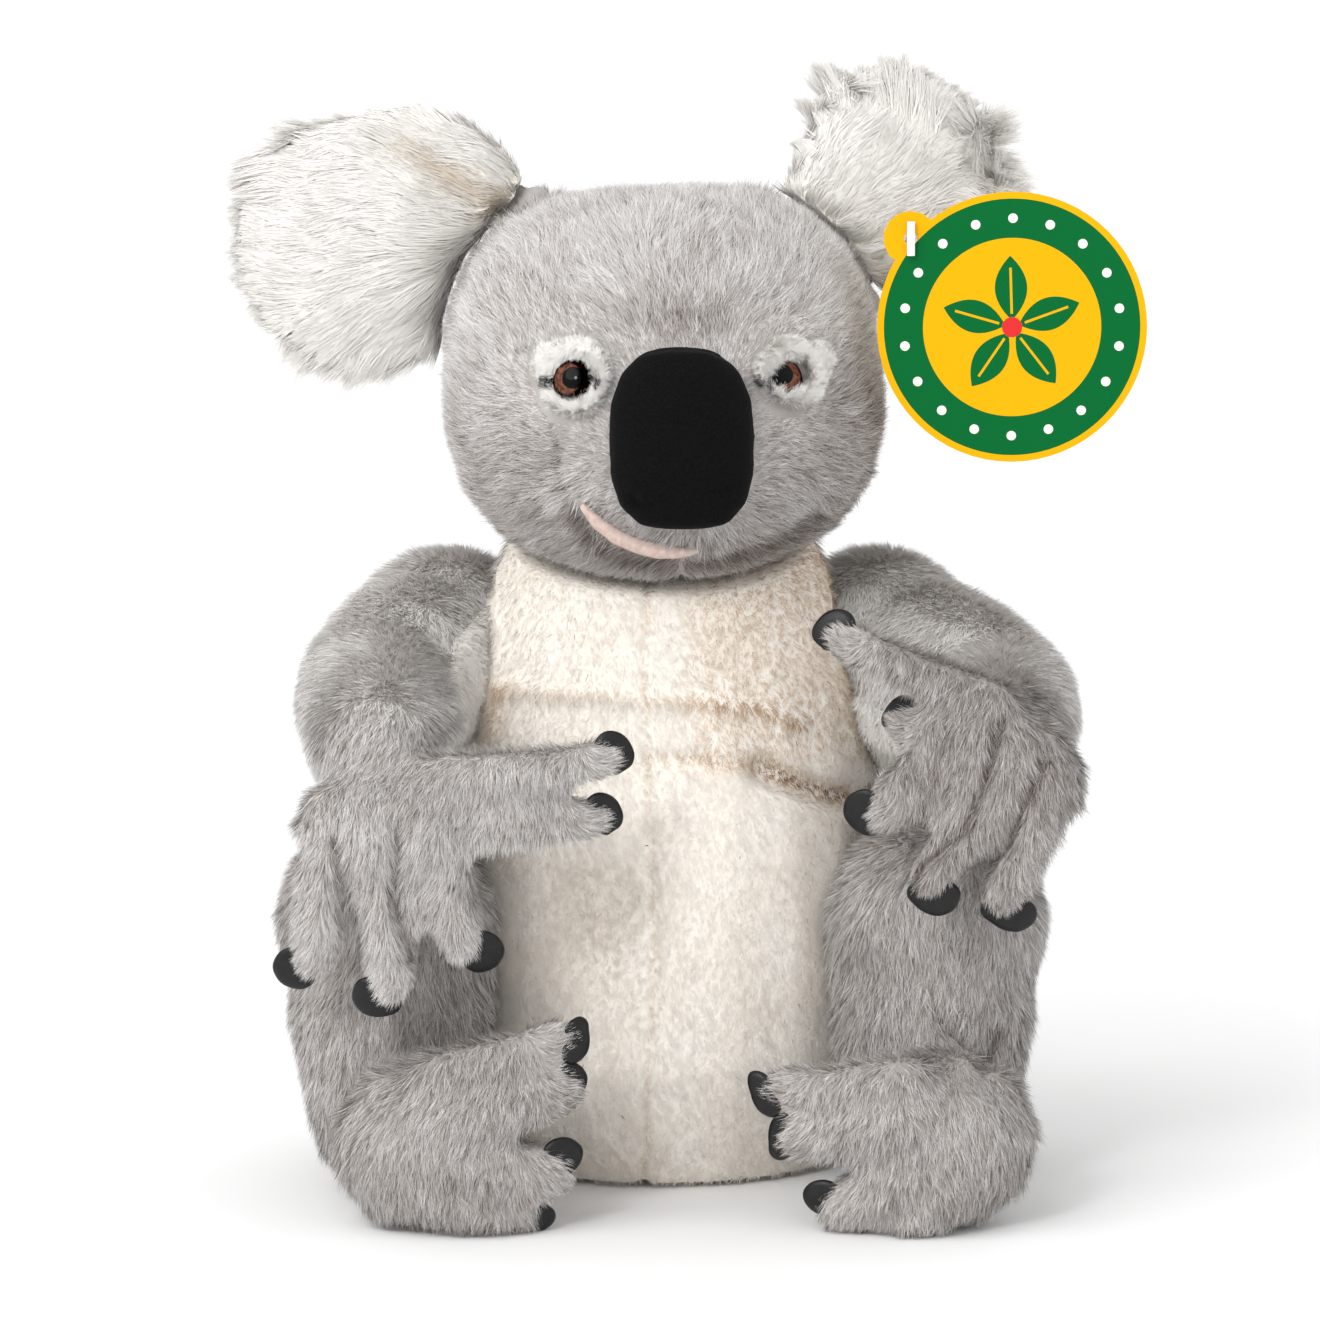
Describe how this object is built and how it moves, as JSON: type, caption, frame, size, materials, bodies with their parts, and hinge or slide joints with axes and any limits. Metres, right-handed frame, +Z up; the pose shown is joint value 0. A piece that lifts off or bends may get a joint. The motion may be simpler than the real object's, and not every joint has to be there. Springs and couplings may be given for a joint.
{
  "type": "plush koala",
  "caption": "Seated stuffed koala with sewn joints at the neck, ears, shoulders and hips, domed eyes, sewn-in claws and a round hang tag.",
  "frame": {"origin": "middle of the flat seat panel, on the surface the toy sits on", "axes": "+Z up through the body, -Y the way the face and feet point, +X to the right of someone who faces the toy"},
  "size_m": [0.27, 0.1875, 0.3333],
  "materials": {
    "grey_plush": "heathered silver-grey long pile plush",
    "white_plush": "short cream-white pile plush",
    "ear_plush": "long silky white pile plush",
    "filling": "polyester fibre filling",
    "seat_cloth": "short grey knit pile",
    "black_velour": "matt black velour",
    "pink_velour": "matt pink velour",
    "eye_plastic": "glossy brown with a black pupil",
    "washer_plastic": "plain moulded",
    "claw_vinyl": "satin black coated cloth",
    "tag_card": "gloss-laminated printed card",
    "fastener_plastic": "clear-white moulded"
  },
  "bodies": {
    "torso": {"seat_panel": "seat_cloth", "body_filling": "filling", "belly_skin": "white_plush", "back_skin": "grey_plush"},
    "head": {"head_skin": "grey_plush", "head_filling": "filling", "nose": "black_velour", "lip": "pink_velour", "eye_left": "eye_plastic", "eye_right": "eye_plastic", "eye_washer_left": "washer_plastic", "eye_washer_right": "washer_plastic", "eye_patch_left": "white_plush", "eye_patch_right": "white_plush"},
    "ear_left": {"ear_back_left": "grey_plush", "ear_lining_left": "ear_plush"},
    "ear_right": {"ear_back_right": "grey_plush", "ear_lining_right": "ear_plush", "tag_fastener": "fastener_plastic"},
    "tag": {"hang_tag": "tag_card"},
    "arm_left": {"arm_left": "grey_plush", "paw_left": "grey_plush", "hand_left_claw_finger_1": "claw_vinyl", "hand_left_claw_finger_2": "claw_vinyl", "hand_left_claw_finger_3": "claw_vinyl", "hand_left_claw_thumb_1": "claw_vinyl", "hand_left_claw_thumb_2": "claw_vinyl"},
    "arm_right": {"arm_right": "grey_plush", "paw_right": "grey_plush", "hand_right_claw_finger_1": "claw_vinyl", "hand_right_claw_finger_2": "claw_vinyl", "hand_right_claw_finger_3": "claw_vinyl", "hand_right_claw_thumb_1": "claw_vinyl", "hand_right_claw_thumb_2": "claw_vinyl"},
    "leg_left": {"leg_left": "grey_plush", "foot_left": "grey_plush", "foot_left_claw_toe_1": "claw_vinyl", "foot_left_claw_toe_2": "claw_vinyl", "foot_left_claw_toe_3": "claw_vinyl", "foot_left_claw_big_toe": "claw_vinyl"},
    "leg_right": {"leg_right": "grey_plush", "foot_right": "grey_plush", "foot_right_claw_toe_1": "claw_vinyl", "foot_right_claw_toe_2": "claw_vinyl", "foot_right_claw_toe_3": "claw_vinyl", "foot_right_claw_big_toe": "claw_vinyl"}
  },
  "joints": [
    {"name": "head_turn", "type": "hinge", "parent": "torso", "child": "head", "pos_m": [0.003, -0.004, 0.196], "axis": [0, -0.3584, 0.9336], "range_deg": [-25, 25], "stiffness_Nm_per_rad": 0.4},
    {"name": "arm_left_open", "type": "hinge", "parent": "torso", "child": "arm_left", "pos_m": [-0.064, 0.014, 0.157], "axis": [0, 0, -1], "range_deg": [0, 30], "stiffness_Nm_per_rad": 0.3},
    {"name": "arm_right_open", "type": "hinge", "parent": "torso", "child": "arm_right", "pos_m": [0.068, 0.014, 0.157], "axis": [0, 0, 1], "range_deg": [0, 30], "stiffness_Nm_per_rad": 0.3},
    {"name": "leg_left_spread", "type": "hinge", "parent": "torso", "child": "leg_left", "pos_m": [-0.064, 0.014, 0.043], "axis": [0, 0, -1], "range_deg": [0, 20], "stiffness_Nm_per_rad": 0.6},
    {"name": "leg_right_spread", "type": "hinge", "parent": "torso", "child": "leg_right", "pos_m": [0.068, 0.014, 0.043], "axis": [0, 0, 1], "range_deg": [0, 20], "stiffness_Nm_per_rad": 0.6},
    {"name": "ear_left_flap", "type": "hinge", "parent": "head", "child": "ear_left", "pos_m": [-0.04525, -0.00546, 0.27467], "axis": [0.4432, 0.0335, 0.8958], "range_deg": [-12, 15], "stiffness_Nm_per_rad": 0.15},
    {"name": "ear_right_flap", "type": "hinge", "parent": "head", "child": "ear_right", "pos_m": [0.04646, 0.00128, 0.27726], "axis": [0.7818, 0.0568, -0.621], "range_deg": [-12, 8], "stiffness_Nm_per_rad": 0.15},
    {"name": "tag_swing", "type": "hinge", "parent": "ear_right", "child": "tag", "pos_m": [0.073, -0.045, 0.285], "axis": [0, 1, 0], "range_deg": [-35, 5]}
  ]
}
